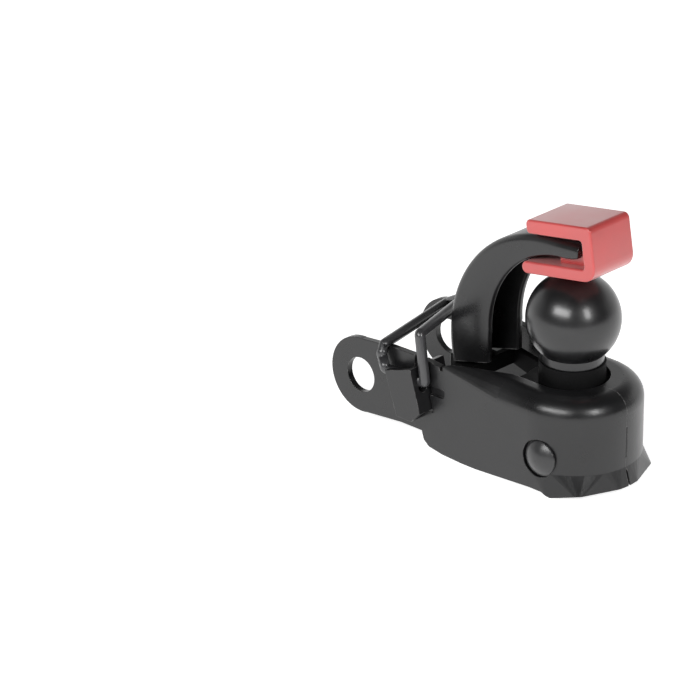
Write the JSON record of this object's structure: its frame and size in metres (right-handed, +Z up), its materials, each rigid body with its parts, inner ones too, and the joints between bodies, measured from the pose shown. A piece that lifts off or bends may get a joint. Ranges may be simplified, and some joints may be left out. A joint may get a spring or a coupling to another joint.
{
  "type": "ball hitch coupling with hook lever",
  "caption": "Compact trailer coupling: a black ball on a pressed steel housing, a hook lever with a red grip arching over it, a wire latch behind, and two drilled drawbar ears.",
  "frame": {"origin": "on the common axis of the two ear bores, half way between the ears", "axes": "+X from the ears towards the ball and nose, +Z up through the ball, +Y along the ear bores towards the side without the latch"},
  "size_m": [0.1248, 0.0593, 0.1026],
  "materials": {
    "black_paint": "satin-gloss black paint on pressed steel",
    "ball_black": "glossy black coated turned steel",
    "rivet_black": "satin black paint over a forged head",
    "wire_black": "thin black coat on drawn wire",
    "zinc": "zinc plated",
    "grip_red": "soft moulded, satin"
  },
  "bodies": {
    "coupling": {"housing_latch_side": "black_paint", "housing_plain_side": "black_paint", "latch_keeper": "black_paint", "base_plate": "black_paint", "hitch_ball": "ball_black", "ball_collar": "black_paint", "spring_washer": "zinc", "ball_nut": "zinc", "pivot_rivet": "rivet_black", "pivot_washers": "zinc", "pivot_spacer": "zinc"},
    "lever": {"lever_yoke": "black_paint", "lever_hook": "black_paint", "lever_grip": "grip_red"},
    "latch": {"bail_wire": "wire_black"}
  },
  "joints": [
    {"name": "lever_swing", "type": "hinge", "parent": "coupling", "child": "lever", "pos_m": [0.088, 0, -0.0056], "axis": [0, -1, 0], "range_deg": [0, 25]},
    {"name": "latch_swing", "type": "hinge", "parent": "coupling", "child": "latch", "pos_m": [0.02, -0.02765, 0.0064], "axis": [1, 0, 0], "range_deg": [0, 100]}
  ],
  "couplings": [
    {"joint": "latch_swing", "follows": "lever_swing", "ratio": 4}
  ]
}
